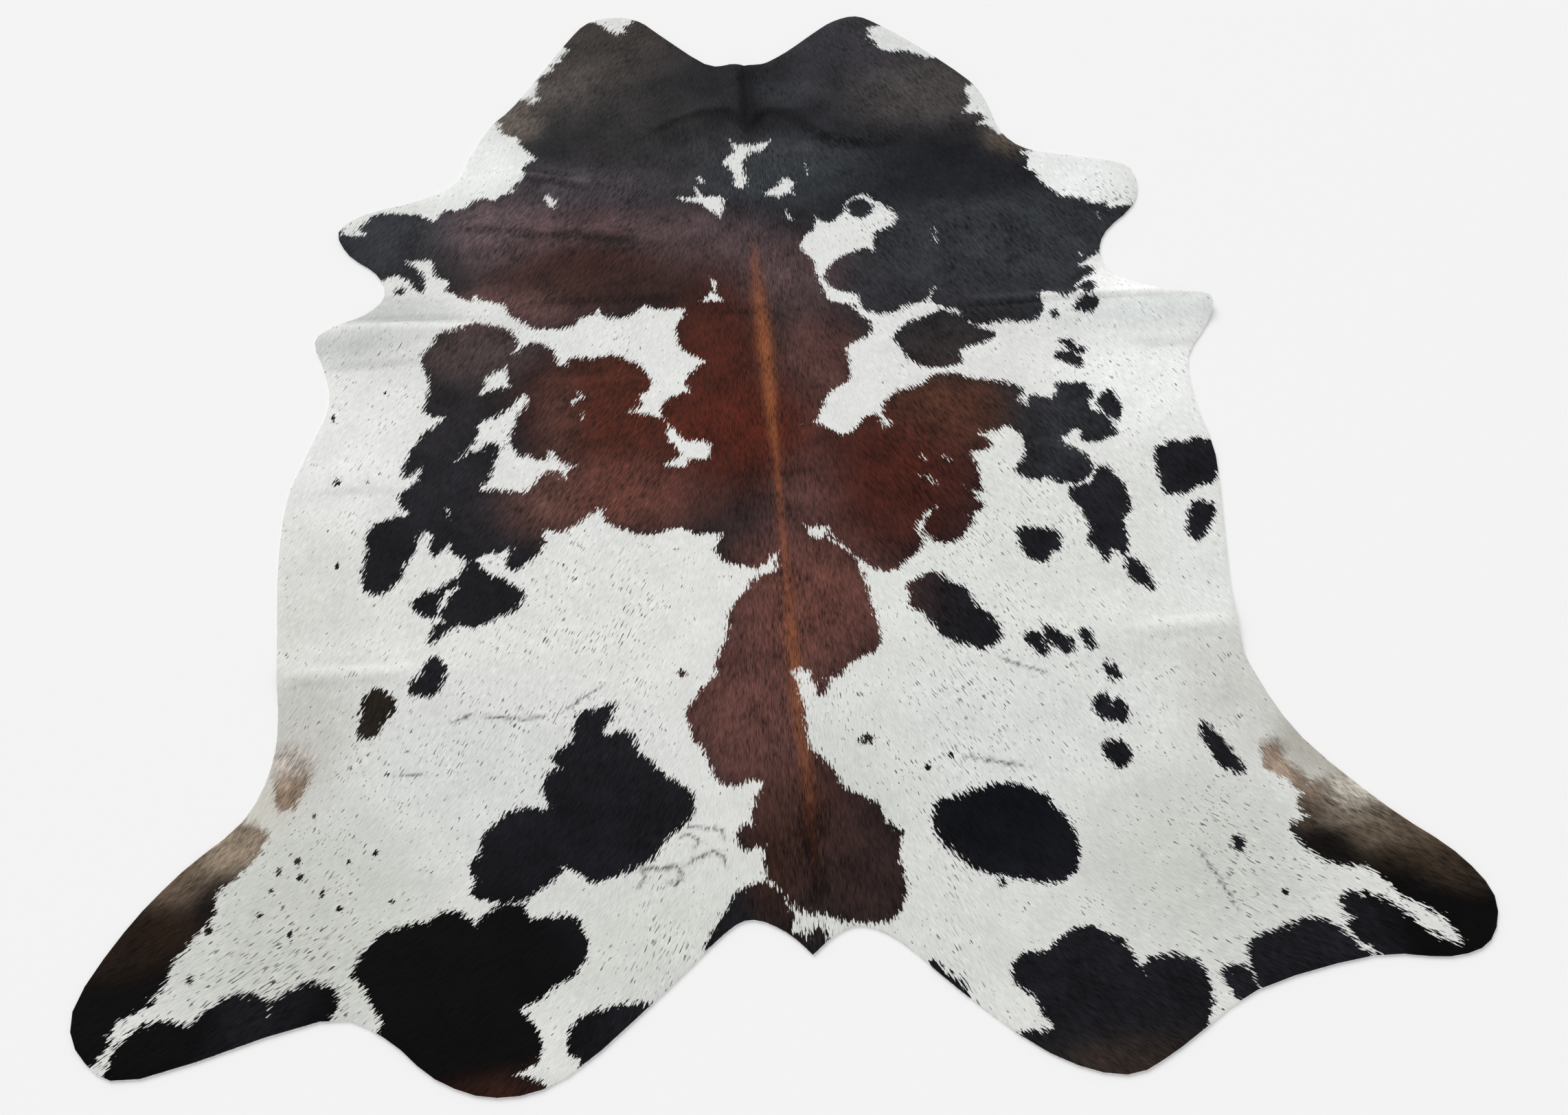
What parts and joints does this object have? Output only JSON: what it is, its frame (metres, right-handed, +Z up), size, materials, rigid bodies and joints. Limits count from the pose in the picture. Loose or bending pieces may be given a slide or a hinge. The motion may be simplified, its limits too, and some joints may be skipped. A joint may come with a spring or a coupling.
{
  "type": "cowhide rug",
  "caption": "Whole cowhide rug with hair on, laid flat, with neck, shoulder, foreleg, hind leg and tail outline and low packing folds.",
  "frame": {"origin": "middle of the hide's bounding box, on the floor under it", "axes": "+Z up off the floor; +Y along the backbone from tail to neck; +X to the right seen from above with the neck away from the viewer"},
  "size_m": [2.064, 2.269, 0.018],
  "materials": {
    "cowhide": "short lying hair over suede backed leather"
  },
  "bodies": {
    "root": {"hide": "cowhide"}
  },
  "joints": []
}
